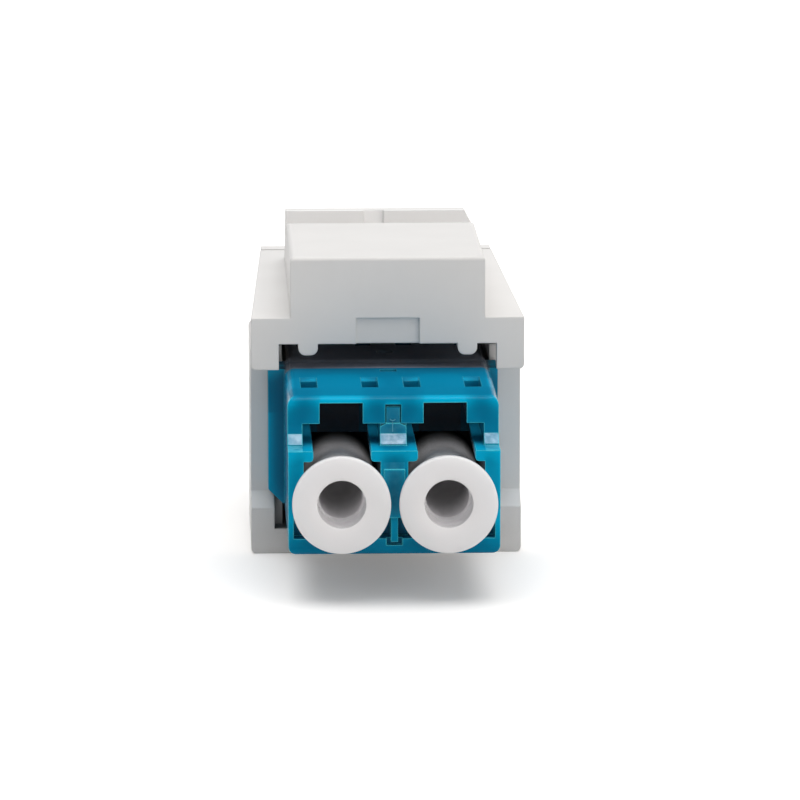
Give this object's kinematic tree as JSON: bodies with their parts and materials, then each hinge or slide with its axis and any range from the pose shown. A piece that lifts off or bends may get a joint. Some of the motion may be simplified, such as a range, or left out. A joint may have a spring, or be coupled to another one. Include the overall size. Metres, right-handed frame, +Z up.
{
  "type": "keystone fibre optic adapter",
  "caption": "Snap-in keystone frame with a press lever, holding a duplex fibre adapter whose stepped ports are closed by pull-out dust caps.",
  "frame": {"origin": "middle of the part's outline on the surface that its foot stands on", "axes": "+X across the two channels, +Y from the cable side to the panel side, +Z up from the foot to the press lever"},
  "size_m": [0.0168, 0.037, 0.0196],
  "materials": {
    "white_frame": "fine satin white moulding",
    "blue_adapter": "glossy petrol blue moulding",
    "sleeve_ceramic": "ground white zirconia",
    "milky_cap": "milky soft moulding"
  },
  "bodies": {
    "housing": {"keystone_frame": "white_frame", "adapter_rear_half": "blue_adapter", "adapter_front_half": "blue_adapter", "split_sleeve_left": "sleeve_ceramic", "split_sleeve_right": "sleeve_ceramic"},
    "lever": {"latch_lever": "white_frame"},
    "rear_cap_left": {"dust_cap_rear_left": "milky_cap"},
    "rear_cap_right": {"dust_cap_rear_right": "milky_cap"},
    "front_cap_left": {"dust_cap_front_left": "milky_cap"},
    "front_cap_right": {"dust_cap_front_right": "milky_cap"}
  },
  "joints": [
    {"name": "lever_press", "type": "hinge", "parent": "housing", "child": "lever", "pos_m": [0, 0.0171, 0.01495], "axis": [1, 0, 0], "range_deg": [0, 2], "stiffness_Nm_per_rad": 0.3},
    {"name": "rear_cap_left_pull", "type": "slide", "parent": "housing", "child": "rear_cap_left", "axis": [0, -1, 0], "range_m": [0, 0.014]},
    {"name": "rear_cap_right_pull", "type": "slide", "parent": "housing", "child": "rear_cap_right", "axis": [0, -1, 0], "range_m": [0, 0.014]},
    {"name": "front_cap_left_pull", "type": "slide", "parent": "housing", "child": "front_cap_left", "axis": [0, 1, 0], "range_m": [0, 0.0205]},
    {"name": "front_cap_right_pull", "type": "slide", "parent": "housing", "child": "front_cap_right", "axis": [0, 1, 0], "range_m": [0, 0.0205]}
  ]
}
